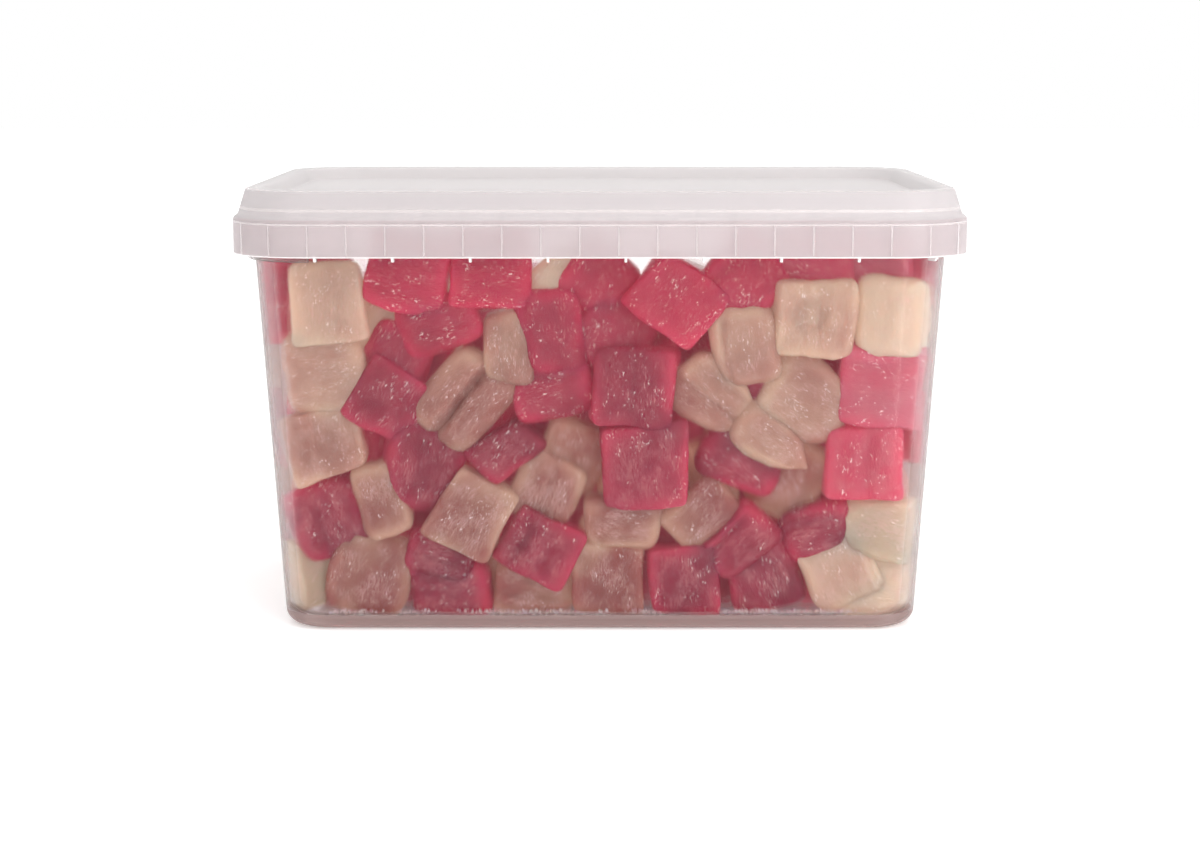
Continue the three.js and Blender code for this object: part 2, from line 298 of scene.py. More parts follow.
def sugar(name, pale, clear, dusky, painted_depth_shade, edge, bloom, glow):
    """Boiled sugar, pulled and cut. Faces are pale, clear or dusky from sweet to sweet, and the tone
    they read also carries painted shade by height. Those behind the front ones are painted darker
    with the depth-shade colour: painted shade. The cut edges are painted lighter and clearer:
    painted light. The pull leaves streaks, and rubbing leaves a white bloom and scratches; the
    near-white specks are painted glint highlights. The glow is a painted glow, an emission standing
    in for light passed on through the sugar from the sweets all round. Patterns read the grain
    attribute, in millimetres with the pull along Y."""
    material, tree = new_material(name)
    grain = add_node(tree, "ShaderNodeAttribute", attribute_name="grain").outputs["Vector"]
    place = add_node(tree, "ShaderNodeTexCoord").outputs["Object"]
    made = {"height": add_node(tree, "ShaderNodeSeparateXYZ", {"Vector": place}).outputs["Z"]}
    for label in ("rim", "tone", "within"):
        made[label] = add_node(tree, "ShaderNodeAttribute", attribute_name=label).outputs["Fac"]

    # Noise: its millimetres across the pull and along it, its detail and its distortion. The pull's
    # fibres and the scratches are really 0.05 mm wide, too fine to show, so they are drawn 0.6 and
    # 0.3 mm wide. Clouds of bubbles are about 5 mm wide, and sugar grit 0.4 mm.
    for label, across, along, detail, distortion in (
        ("patches", 13.333, 16.667, 0.5, 0.0),
        ("clouds", 4.5455, 6.25, 4.0, 0.0),
        ("streaks", 0.55556, 2.2222, 6.0, 0.8),
        ("grit", 0.38462, 0.625, 6.0, 0.0),
        ("scratches", 0.27778, 1.6667, 3.0, 0.6),
        ("glints", 0.41667, 1.1111, 4.0, 1.0),
        ("clusters", 3.5714, 5.0, 1.0, 0.0),
    ):
        scaled = add_node(tree, "ShaderNodeVectorMath", {
            0: grain, 1: (1 / across, 1 / along, 1 / across),
        }, operation="MULTIPLY")
        made[label] = add_node(tree, "ShaderNodeTexNoise", {
            "Vector": scaled, "Scale": 1.0, "Detail": detail, "Distortion": distortion,
        })

    # Shares: what each reads, where it begins, where it is full, and how strong it is then.
    for label, source, begins, full, most in (
        ("dusk in clouds", "clouds", 0.42, 0.7, 0.08),
        # Painted light: the cut edges are coloured lighter and clearer, as if light passed through
        # them.
        ("rim share of painted light", "rim", -1.2, 1.8, 1.0),
        ("patch share of painted light", "patches", 0.33, 0.67, 0.65),
        ("clean rim", "rim", 0.0, 0.9, 0.7),
        ("weight above", "height", HAZE_ENDS * MM, HAZE_BEGINS * MM, 1.0),
        ("haze in clouds", "clouds", 0.65, 0.3, 0.5),
        ("rubbed streaks", "streaks", 0.4, 0.62, 1.0),
        ("rubbed grit", "grit", 0.45, 0.65, 1.0),
        ("scratch lines", "scratches", 0.55, 0.64, 0.6),
        ("scratched places", "clouds", 0.6, 0.45, 1.0),
        # Painted highlights: near-white glint specks where these two meet.
        ("painted glint spots", "glints", 0.6, 0.66, 0.8),
        ("painted glint areas", "clusters", 0.5, 0.6, 1.0),
        # Painted glow: emission at the rim and in the depth, though sugar is no lamp.
        ("painted rim glow", "rim", -1.6, 1.4, glow),
        ("painted depth glow", "within", 0.0, 2.0, 0.2),
    ):
        made[label] = add_node(tree, "ShaderNodeMapRange", {
            "Value": made[source], "From Min": begins, "From Max": full, "To Max": most,
        }, interpolation_type="SMOOTHSTEP")
    for label, operation, first, second in (
        ("dusk", "ADD", "tone", "dusk in clouds"),
        ("painted rim light", "MULTIPLY", "rim share of painted light", "patch share of painted light"),
        ("middle", "SUBTRACT", 1.0, "clean rim"),
        ("cloudy", "MULTIPLY", "haze in clouds", "weight above"),
        ("rubbed", "MAXIMUM", "rubbed streaks", "rubbed grit"),
        ("haze", "MULTIPLY", "cloudy", "rubbed"),
        ("scratched", "MULTIPLY", "scratch lines", "scratched places"),
        ("marked", "MAXIMUM", "haze", "scratched"),
        ("whiteness", "MULTIPLY", "marked", "middle"),
        ("painted glint specks", "MULTIPLY", "painted glint spots", "painted glint areas"),
        ("glow", "ADD", "painted rim glow", "painted depth glow"),
    ):
        made[label] = add_node(tree, "ShaderNodeMath", {
            0: made.get(first, first), 1: made[second],
        }, operation=operation)
    made["paleness"] = add_node(tree, "ShaderNodeMapRange", {
        "Value": made["dusk"], "From Min": 0.0, "From Max": -0.6,
    }, interpolation_type="SMOOTHSTEP")

    # The colours, each laid over those before it, among them painted depth shade, painted rim light
    # and painted glint specks; the painted glow, an emission, has the body's colour.
    colours = [linear(clear)]
    for label, colour in (
        ("dusk", dusky), ("paleness", pale), ("within", painted_depth_shade), ("painted rim light", edge),
        # The near-white is a painted glint highlight.
        ("whiteness", bloom), ("painted glint specks", "#FBEFEC"),
    ):
        colours.append(add_node(tree, "ShaderNodeMix", {
            "Factor": made[label], 6: colours[-1], 7: linear(colour),
        }, data_type="RGBA").outputs[2])
    body, face = colours[4], colours[6]
    relief = add_node(tree, "ShaderNodeBump", {
        "Height": made["streaks"], "Strength": 0.6, "Distance": 0.7 * MM,
    })
    fine_relief = add_node(tree, "ShaderNodeBump", {
        "Height": made["scratches"], "Strength": 0.5, "Distance": 0.2 * MM,
        "Normal": relief,
    })
    shader = add_node(tree, "ShaderNodeBsdfPrincipled", {
        "Base Color": face,
        "Roughness": 0.22,
        "IOR": 1.5,
        "Specular IOR Level": 0.35,
        "Subsurface Weight": 0.9,
        "Subsurface Radius": (1.0, 0.55, 0.5),
        "Subsurface Scale": 16 * MM,
        "Normal": fine_relief,
        # A painted glow: emission standing in for light passed through from the sweets around.
        "Emission Color": body,
        "Emission Strength": made["glow"],
    })
    return finish_material(material, shader)


def sugar_dust():
    """Broken sugar dust. It gives the eye white specks with some pink ones among them."""
    material, tree = new_material("broken_sugar_dust")
    place = add_node(tree, "ShaderNodeTexCoord").outputs["Object"]
    # A patch of one shade is 2.5 mm wide, a few crumbs.
    shade = add_node(tree, "ShaderNodeTexNoise", {
        "Vector": place, "Scale": 1 / (2.5 * MM), "Detail": 1.0,
    })
    tint = add_node(tree, "ShaderNodeMapRange", {
        "Value": shade, "From Min": 0.5, "From Max": 0.7,
    })
    colour = add_node(tree, "ShaderNodeMix", {
        "Factor": tint, 6: linear("#F6E8EA"), 7: linear("#C98A98"),
    }, data_type="RGBA")
    shader = add_node(tree, "ShaderNodeBsdfPrincipled", {
        "Base Color": colour.outputs[2], "Roughness": 0.4,
        "Subsurface Weight": 0.5, "Subsurface Scale": 1 * MM,
    })
    return finish_material(material, shader)


# ---- sweets

def block_skin(*counts):
    """Points on the skin of a block from -1 to 1, closer together near its edges, and its quads."""
    index, points, quads = {}, [], []

    def point(*cell):
        if cell not in index:
            index[cell] = len(points)
            points.append([math.sin(math.pi / 2 * (2 * c / n - 1)) for c, n in zip(cell, counts)])
        return index[cell]

    for axis in range(3):
        u, v = (axis + 1) % 3, (axis + 2) % 3
        for side in (0, counts[axis]):
            for i in range(counts[u]):
                for j in range(counts[v]):
                    corners = []
                    for di, dj in ((0, 0), (1, 0), (1, 1), (0, 1)):
                        cell = [0, 0, 0]
                        cell[axis], cell[u], cell[v] = side, i + di, j + dj
                        corners.append(point(*cell))
                    quads.append(corners if side else corners[::-1])
    return np.array(points), quads


FINE_SKIN = block_skin(24, 14, 10)
PLAIN_SKIN = block_skin(8, 8, 6)
PROXY_SKIN = block_skin(2, 2, 2)


def waves(points, random, scale, count=5):
    """A smooth uneven field over the points, from about -1 to 1, with lumps of one size in mm."""
    total = np.zeros(len(points))
    for _ in range(count):
        direction = random.normal(size=3)
        direction *= 2 * math.pi / scale / np.linalg.norm(direction) * random.uniform(0.6, 1.4)
        total += np.sin(points @ direction + random.uniform(0, 6.28))
    return total / count * 1.5


FORMS = {
    # length, width and thickness, how square the section and the ends are, how far each cut end is
    # pinched, and the share of the width that the lower end keeps
    "cushion": dict(size=(21, 20.5, 13), section=4.5, ends=6, pinch=(0.78, 0.78)),
    "square": dict(size=(21.6, 21.6, 12.5), section=9, ends=12, pinch=(0.92, 0.92)),
    "bar": dict(size=(22, 15.5, 13.5), section=3.6, ends=6, pinch=(0.8, 0.8)),
    "barrel": dict(size=(21.5, 16.5, 15), section=2.8, ends=4.5, pinch=(0.85, 0.85)),
    "finger": dict(size=(21, 9, 8.5), section=2.6, ends=4, pinch=(0.7, 0.7)),
    "teardrop": dict(size=(26, 17, 13), section=2.6, ends=4, pinch=(0.4, 0.85), taper=0.1),
    "split": dict(size=(24, 20, 14), section=3.0, ends=4, pinch=(0.75, 0.8), split=0.5),
    "dimpled": dict(size=(22, 21.5, 12.5), section=6, ends=8, pinch=(0.88, 0.88), dimple=1.8),
    "wedge": dict(size=(22, 20.5, 13), section=3.2, ends=4, pinch=(0.65, 0.85), taper=0.72),
}
CORNER_DRIFT = 1.3
LUMP_DEPTH = 0.55
GROOVE_DEPTHS = (0.15, 0.6)


def sweet_shape(skin, form, random, scale=1.0):
    """One sweet's points in mm: a length of rope along Y, cut at both ends, flat along Z."""
    spec = FORMS[form]
    length, width, thickness = (s / 2 * scale * random.uniform(0.94, 1.05) for s in spec["size"])
    x, y, z = round_off(skin, spec["section"], spec["ends"]).T
    ends = [p * random.uniform(0.9, 1.1) for p in spec["pinch"]]
    squeeze = 1 - np.where(y > 0, 1 - ends[1], 1 - ends[0]) * np.abs(y) ** 2.4
    narrowing = 1 - (1 - spec.get("taper", 1)) * ((1 - y) / 2) ** 2.4
    points = np.stack([x * width * narrowing, y * length, z * thickness * squeeze], 1)
    points[:, :2] += corner_drift(x, y, random, CORNER_DRIFT * scale)
    face = np.sign(z) * smooth_step(0.3, 0.9, np.abs(z))
    points[:, 2] -= face * grooves(points[:, 0], random)
    if "split" in spec:
        points[:, 2] *= 1 - spec["split"] * np.exp(-(x / 0.13) ** 2)
    if "dimple" in spec:
        reach = np.hypot(points[:, 0] + 2, points[:, 1] - 1)
        points[:, 2] -= face * spec["dimple"] * (1 - smooth_step(4.2, 5.6, reach))
    points[:, 0] += random.uniform(-0.6, 0.6) * (y * y - 0.4)
    points = twisted(points, random.uniform(-0.2, 0.2) * y)
    for size, depth in ((17.0, LUMP_DEPTH), (6.0, LUMP_DEPTH * 0.3)):
        points += depth * np.stack([waves(points, random, size) for _ in range(3)], 1)
    return points


def round_off(skin, section, ends):
    """The block's skin with its long edges and its cut ends rounded, less where a power is high."""
    x, y, z = skin.T
    radius = (np.abs(x) ** section + np.abs(z) ** section) ** (1 / section)
    radius = (radius ** ends + np.abs(y) ** ends) ** (1 / ends)
    return skin / radius[:, None]


def corner_drift(x, y, random, most):
    """Moves the four corners of the face a little, each its own way, and the rest with them."""
    total = np.zeros((len(x), 2))
    for sign_x in (1, -1):
        for sign_y in (1, -1):
            weight = (1 + sign_x * x) * (1 + sign_y * y) / 4
            total += weight[:, None] * random.uniform(-most, most, 2)
    return total


def grooves(x, random):
    """The pull's lengthwise grooves: a few narrow hollows across X, in mm."""
    depth = np.zeros(len(x))
    for _ in range(random.randint(3, 7)):
        middle, width = random.uniform(-9, 9), random.uniform(0.6, 1.6)
        depth += random.uniform(*GROOVE_DEPTHS) * np.exp(-((x - middle) / width) ** 2)
    return depth


def twisted(points, angle):
    """The points turned about Y, each by its own angle."""
    x, y, z = points.T
    return np.stack([x * np.cos(angle) - z * np.sin(angle), y,
                     x * np.sin(angle) + z * np.cos(angle)], 1)


def proxy_shape(form, scale):
    """A plain stand-in of the sweet's size, for the settling."""
    length, width, thickness = np.array(FORMS[form]["size"]) / 2 * scale * 0.97
    return round_off(PROXY_SKIN[0], 5, 9) * (width, length, thickness)


def rim_of(skin):
    """How near each point of the skin is to the cut and pulled sides of the sweet, from 0 to 1."""
    return smooth_step(0.5, 1.05, np.abs(skin[:, :2]).max(1))


def kept_inside(points):
    """The points in mm, with any past the tub's inside moved straight back to it."""
    flat, z = points[:, :2], np.maximum(points[:, 2], FLOOR_TOP + CLEARANCE)
    rise = FOOT_FILLET - np.clip(z - FLOOR_TOP, 0, FOOT_FILLET)
    inset = WALL + CLEARANCE + rise ** 2 / (1.7 * FOOT_FILLET)
    half = wall_half(z) - inset
    corner = np.maximum(wall_corner(z) - inset, 2.0)
    centre = np.stack([half - corner, half - HALF_DIFFERENCE - corner], 1)  # of the corner's arc
    past = np.abs(flat) - centre
    turning = (past > 0).all(1)
    reach = np.hypot(*np.maximum(past, 0).T)
    shrink = np.where(turning & (reach > corner), corner / np.maximum(reach, 1e-6), 1.0)
    kept = np.where(turning[:, None], past * shrink[:, None], np.minimum(past, corner[:, None]))
    return np.column_stack([np.sign(flat) * (kept + centre), z])


class SweetPile:
    """The sweets of one colour, gathered into one mesh with their grain, rim and tone."""

    def __init__(self, name):
        self.name = name
        self.count = 0
        self.faces = []
        self.values = {label: [] for label in ("points", "grain", "rim", "tone", "within")}

    def add(self, skin, points, matrix, tone, within, random):
        rotation, place = np.array(matrix.to_3x3()), np.array(matrix.translation)
        self.faces += [tuple(i + self.count for i in quad) for quad in skin[1]]
        self.count += len(points)
        for label, values in (
            ("points", kept_inside(points @ rotation.T + place) * MM),
            ("grain", points + random.uniform(-400, 400, 3)),
            ("rim", rim_of(skin[0])),
            ("tone", np.full(len(points), tone)),
            ("within", np.full(len(points), within)),
        ):
            self.values[label].append(values)

    def build(self, material):
        joined = {label: np.concatenate(values) for label, values in self.values.items()}
        made = make_object(self.name, joined.pop("points"), self.faces, material, 70)
        for label, values in joined.items():
            kind, key = ("FLOAT_VECTOR", "vector") if label == "grain" else ("FLOAT", "value")
            made.data.attributes.new(label, kind, "POINT").data.foreach_set(key, values.ravel())
        return made


# The front layer: form, colour, place along X and Z, depth of the middle behind the front wall,
# then its turn in the plane of the wall (clockwise), its yaw and its tip, in degrees, its size, and
# its tone, from pale below zero to dusky at one.
P, C = "pink", "cream"
FRONT_LAYER = [
    ("square", C, -73.6, 91, 7, -4, 4, 0, 0.96, 0.4),
    ("square", P, -81, 91.5, 18.5, 0, 0, 0, 1.12, 0.3),
    ("square", P, -51.5, 99.3, 8, 101, 0, 4, 1, 0.1),
    ("square", P, -29.5, 100.3, 8, 91, -5, 0, 1, 0.1),
    ("finger", C, -13, 99.5, 9, 45, 0, 0, 0.9, -0.15),
    ("cushion", P, -1, 97, 12, 40, 10, 10, 1.05, 0.3),
    ("square", P, 20, 92, 7, 37, 0, 0, 1, 0.1),
    ("cushion", P, 39.5, 97, 10, 40, 0, -8, 1.08, 0.2),
    ("bar", P, 57, 102.3, 13, 86, 0, 0, 1.1, -0.6),
    ("bar", P, 75, 102, 14, 93, 0, 0, 1, -1.2),
    ("dimpled", C, 58.5, 87, 7, 2, 0, 0, 0.98, 0.5),
    ("cushion", C, 80.2, 88, 7.5, 0, -8, 0, 1, -0.65),
    ("cushion", C, 79, 90.5, 19, 0, -8, 0, 1.12, -0.6),
    ("bar", P, 89, 98, 18, 10, 40, 0, 0.8, -1.2),
    ("cushion", C, -57, 86, 14, 20, 0, 0, 1, 0),
    ("bar", P, -43.5, 85.5, 8.5, 74, 0, 0, 1.02, 0.7),
    ("bar", C, -25.6, 79, 7.5, -6, 0, 0, 0.98, 1),
    ("bar", P, -14, 83.5, 8, -7, 10, 0, 1.1, 1),
    ("cushion", P, 2, 83, 12, 40, 10, 0, 1, 0.7),
    ("barrel", C, 40.3, 80, 7.5, -7, 0, 0, 1.13, 0.8),
    ("cushion", C, -75.5, 72.3, 8.5, 86, 6, 0, 1.04, 0.4),
    ("cushion", P, -56, 75.5, 11, 25, -10, 10, 0.95, 0.7),
    ("square", P, -58.3, 64.8, 8, 33, 5, 0, 0.9, 0.7),
    ("split", C, -37.5, 64.4, 8, 42, 0, 0, 1.1, 0.9),
    ("bar", P, -13, 66.5, 8, 79, 0, 0, 1, 0.7),
    ("square", P, 9.3, 67.7, 7, 4, 0, 0, 1.06, 0.8),
    ("wedge", C, 31, 65.5, 8, -52, 0, 0, 1.05, 0.9),
    ("finger", P, 43, 68, 9, 20, 0, 0, 0.9, 0.5),
    ("wedge", C, 56.5, 64.5, 8, -58, 0, 0, 1.1, 0.6),
    ("square", P, 77, 67, 7.5, 94, -5, 0, 1.02, -1.8),
    ("square", C, -75.5, 51.8, 7, -20, 5, 0, 0.98, 0.4),
    ("wedge", P, -48.5, 45.8, 9, 10, 10, 0, 1.15, 0.6),
    ("bar", P, -26, 49.8, 8, 52, 0, 0, 0.88, 0.8),
    ("cushion", C, -8, 48, 14, 20, 0, 10, 1, 0.8),
    ("square", P, 12.7, 46.5, 7, -3, 0, 0, 1.03, 0.4),
    ("barrel", P, 39.5, 47, 10, 117, 0, 0, 1.02, 0.7),
    ("teardrop", C, 47.5, 53.5, 5.5, -52, 0, 0, 1, 0.4),
    ("cushion", C, 53, 40, 15, 30, 0, 10, 1.05, 0.8),
    ("square", P, 73.5, 46.5, 7, 0, -3, 0, 1, -1.7),
    ("cushion", P, -75, 31.5, 9, -21, 8, 0, 1.05, 0.3),
    ("barrel", C, -60.5, 36.4, 7, -16, 0, 0, 0.96, 0.8),
    ("cushion", P, 86, 55, 19, 0, -50, 0, 1, -3),
    ("square", C, -35.3, 32, 6.5, 28, 0, 0, 0.92, 0.4),
    ("cushion", C, -14.2, 39, 10, 24, 0, 0, 0.88, 0.5),
    ("square", P, -16.5, 22.3, 6.5, 26, 0, 0, 0.9, 0.3),
    ("barrel", C, 6, 30, 8, 92, 0, 0, 1, 0.5),
    ("bar", C, 27.3, 31.8, 8, 47, 0, 0, 0.98, 0.8),
    ("bar", P, 38.8, 24.5, 6.5, 42, 0, 0, 0.96, 0.2),
    ("barrel", P, 59.8, 27.5, 8, 70, 0, 0, 0.98, 0.6),
    ("bar", C, 79, 27.5, 8.5, 97, -8, 0, 1.05, -2.3),
    ("cushion", C, 79, 11.5, 9.5, 90, -12, 0, 1, -2.1),
    ("barrel", P, -45.3, 20, 8, 103, 0, 0, 0.88, 0.7),
    ("cushion", C, -63.5, 15, 8, 10, 0, 0, 1.08, 0.4),
    ("cushion", C, -79, 14, 11, -4, 30, 0, 1, -2.6),
    ("bar", P, -42, 10.8, 9, 90, 0, 0, 1.05, 0.7),
    ("bar", C, -18.5, 10.5, 9, 92, 0, 0, 0.98, 0.9),
    ("cushion", C, -31, 15, 16, 40, 0, 0, 0.8, 0.4),
    ("square", C, 2.5, 13.5, 7, 2, 0, 0, 0.9, 0.6),
    ("square", P, 23, 13.5, 7, 1, 0, 0, 0.95, 0.8),
    ("cushion", P, 45, 14, 9, -15, 0, 0, 1, 0.5),
    ("cushion", C, 66, 17.5, 7.5, -24, 0, 0, 1.06, -0.8),
]


def second_layer():
    """Rows like the front layer's for the sweets behind it: a loose lattice that closes the front
    layer's gaps, and a column at each side wall."""
    random = np.random.RandomState(LATTICE_SEED)
    drift = lambda most: random.uniform(-most, most)
    rows = []
    for level in range(LATTICE_LEVELS):
        for column in range(LATTICE_COLUMNS):
            place = column - LATTICE_COLUMNS // 2 + 0.5 * (level % 2)
            x = place * LATTICE_SPACING[0] + drift(LATTICE_JITTER)
            z = LATTICE_BOTTOM + level * LATTICE_SPACING[1] + drift(LATTICE_JITTER)
            if abs(x) > LATTICE_REACH:
                continue
            colour = P if random.uniform() < LATTICE_PINK_SHARE else C
            turn, yaw, tip = drift(LATTICE_TURN), drift(LATTICE_LEAN), drift(LATTICE_LEAN)
            tone = random.uniform(0.3, 1)
            rows.append(("cushion", colour, x, z, LATTICE_DEPTH, turn, yaw, tip, 1.0, tone))
    for side in (-1, 1):
        for level in range(LATTICE_LEVELS):
            colour = P if (level + side) % 2 else C
            place = side * (77 + level), 14 + level * 21, 24 + 3 * (level % 2)
            rows.append(("cushion", colour, *place, 0, side * 40, random.uniform(-15, 15), 1.0, 0.0))
    return rows


def front_matrix(x, z, depth, turn, yaw, tip):
    """Where a front sweet lies: its flat face to the front wall, then tipped, yawed and turned."""
    front = -(wall_half(z) - HALF_DIFFERENCE - WALL)
    angles = [math.radians(a) for a in (turn, yaw, tip + 90)]
    spin = Matrix.Rotation(angles[0], 4, "Y") @ Matrix.Rotation(angles[1], 4, "Z")
    return Matrix.Translation((x, front + depth, z)) @ spin @ Matrix.Rotation(angles[2], 4, "X")


def body(kind, points, matrix=Matrix.Identity(4), faces=PROXY_SKIN[1], shape="CONVEX_HULL"):
    """A plain object for the settling, on its larger scale."""
    mesh = bpy.data.meshes.new("settling")
    mesh.from_pydata([tuple(p) for p in np.array(points) * SETTLE_SCALE * MM], [], faces)
    made = add_object("settling", mesh)
    placed = matrix.copy()
    placed.translation = matrix.translation * SETTLE_SCALE * MM
    made.matrix_world = placed
    bpy.context.view_layer.objects.active = made
    bpy.ops.object.select_all(action="DESELECT")
    made.select_set(True)
    bpy.ops.rigidbody.object_add(type=kind)
    made.rigid_body.collision_shape = shape
    for setting, value in SETTLE_BODY.items():
        setattr(made.rigid_body, setting, value)
    return made


def tub_inside():
    """The inside of the tub as a thick open box, for the settling."""
    stations = [
        (130.0, -20.0, 20.0), (130.0, 520.0, 20.0),
        (wall_half(120) - WALL - CLEARANCE, 520.0, 15.0),
        wall_station(120, WALL + CLEARANCE),
        wall_station(FLOOR_TOP + 5, WALL + CLEARANCE),
        (wall_half(0) - 5.0, FLOOR_TOP + CLEARANCE, 9.0),
    ]
    points, faces = loft(stations, 6)
    return np.array(points) / MM, faces


def settle(still, matrices, loose):
    """Drops the loose sweets into the tub behind the still ones; their matrices at rest, in mm."""
    scene = bpy.context.scene
    bpy.ops.rigidbody.world_add()
    world = scene.rigidbody_world
    world.substeps_per_frame = 8
    world.solver_iterations = 16
    world.point_cache.frame_start = 1
    world.point_cache.frame_end = SETTLE_FRAMES
    inside, inside_faces = tub_inside()
    core = PROXY_SKIN[0] * np.array([*CORE_HALF, CORE_TOP / 2]) + (0, 0, CORE_TOP / 2)
    bodies = [body("PASSIVE", inside, faces=inside_faces, shape="MESH"), body("PASSIVE", core)]
    bodies += [body("PASSIVE", *placed) for placed in zip(still, matrices)]
    random = np.random.RandomState(DROP_SEED)
    dropped = []
    for number, points in enumerate(loose):
        layer, place = divmod(number, DROP_COLUMNS * DROP_ROWS)
        row, column = divmod(place, DROP_COLUMNS)
        start = DROP_START + np.multiply(DROP_SPACING, (column, row, layer))
        jitter = (*random.uniform(-DROP_JITTER, DROP_JITTER, 2), 0)
        matrix = Euler(random.uniform(-3, 3, 3)).to_matrix().to_4x4()
        matrix.translation = start + jitter
        dropped.append(body("ACTIVE", points, matrix))
    for number in range(1, SETTLE_FRAMES + 1):
        scene.frame_set(number)
    graph = bpy.context.evaluated_depsgraph_get()
    rested = []
    for item in dropped:
        matrix = item.evaluated_get(graph).matrix_world.copy()
        matrix.translation = matrix.translation / (SETTLE_SCALE * MM)
        rested.append(matrix)
    bpy.ops.rigidbody.world_remove()
    for item in bodies + dropped:
        mesh = item.data
        bpy.data.objects.remove(item)
        bpy.data.meshes.remove(mesh)
    scene.frame_set(1)
    return rested


def tone_with_painted_height_shade(tone, z):
    """The tone with painted shade by height: lower sweets are painted duskier, standing in for the
    light that comes in from above and reaches them less.
    """
    return 0.5 * tone + 0.95 * (1 - z / HEAP_TOP)


def lay_sweets():
    """Both piles of sweets: the front layer, the rows behind it, and the loose ones."""
    piles = {P: SweetPile("sweets_pink"), C: SweetPile("sweets_cream")}
    proxies, matrices = [], []
    for number, row in enumerate(FRONT_LAYER + second_layer()):
        form, colour, x, z, depth, turn, yaw, tip, scale, tone = row
        matrix = front_matrix(x, z, depth, turn, yaw, tip)
        skin = FINE_SKIN if number < len(FRONT_LAYER) else PLAIN_SKIN
        shape_random = np.random.RandomState(FRONT_SHAPE_SEED + number)
        points = sweet_shape(skin[0], form, shape_random, scale)
        random = np.random.RandomState(FRONT_GRAIN_SEED + number)
        # How far a sweet set back from the front wall is painted darker and given painted glow:
        # painted shade of the depth.
        within = smooth_step(*INNER_DEPTHS, depth) * INNER_MOST
        # The stored tone carries painted shade by height as well as the sweet's own tone.
        piles[colour].add(skin, points, matrix, tone_with_painted_height_shade(tone, z), within, random)
        proxies.append(proxy_shape(form, scale))
        matrices.append(matrix)
    choice = np.random.RandomState(CHOICE_SEED)
    kinds = ["cushion"] * 6 + ["square", "bar", "barrel", "wedge", "split"]
    picks = [kinds[choice.randint(len(kinds))] for _ in range(LOOSE_COUNT)]
    scales = [choice.uniform(0.92, 1.04) for _ in picks]
    loose = [proxy_shape(form, scale) for form, scale in zip(picks, scales)]
    rested = settle(proxies, matrices, loose)
    for i, (form, matrix) in enumerate(zip(picks, rested)):
        if not 0 < matrix.translation.z < HEAP_TOP - 9:
            continue
        random = np.random.RandomState(LOOSE_SEED + i)
        points = sweet_shape(PLAIN_SKIN[0], form, random, scales[i])
        pile = piles[P if random.uniform() < LOOSE_PINK_SHARE else C]
        pile.add(PLAIN_SKIN, points, matrix, random.uniform(), 0.0, random)
    return piles


# ---- the tub and the lid

def tub_stations():
    """The tub's shell, from the recess in its underside over the foot ring and up the outside, over
    the lip and down the inside to the floor."""
    foot_half = wall_half(0) - FOOT_FILLET
    recess_half = foot_half - FOOT_RING
    foot_corner = WALL_CORNER_AT_BASE - FOOT_FILLET + 1
    stations = [
        (recess_half - 1, FOOT_RECESS, foot_corner - 3),
        (recess_half, 0.0, foot_corner - 2.5),
        (foot_half, 0.0, foot_corner),
    ]
    for step in range(1, 9):
        angle = math.pi / 2 * step / 8
        z = FOOT_FILLET * (1 - math.cos(angle))
        half = wall_half(z) - FOOT_FILLET * (1 - math.sin(angle))
        stations.append((half, z, foot_corner + (wall_corner(z) - foot_corner) * step / 8))
    collar_corner = SKIRT_CORNER - 2
    stations += [
        wall_station(COLLAR_BOTTOM),
        (COLLAR_HALF, COLLAR_BOTTOM, collar_corner),
        (COLLAR_HALF, COLLAR_TOP, collar_corner),
    ]
    stations += [wall_station(z, inset) for z, inset in (
        (COLLAR_TOP, 0), (BEAD_BOTTOM, 0), ((BEAD_BOTTOM + BEAD_TOP) / 2, -BEAD_REACH), (BEAD_TOP, 0),
        (RIM_TOP - 0.2, 0), (RIM_TOP, 0.3), (RIM_TOP, WALL - 0.2), (RIM_TOP - 0.3, WALL),
    )]
    return stations + [floor_station(step / 6) for step in range(7)]


def ridge_half(z):
    """Half the width of the lid's sloping side at a height."""
    low, high = LEDGE_TOP + 0.4, HEIGHT - 0.9
    return LEDGE_HALF + (RIDGE_HALF - LEDGE_HALF) * (z - low) / (high - low)


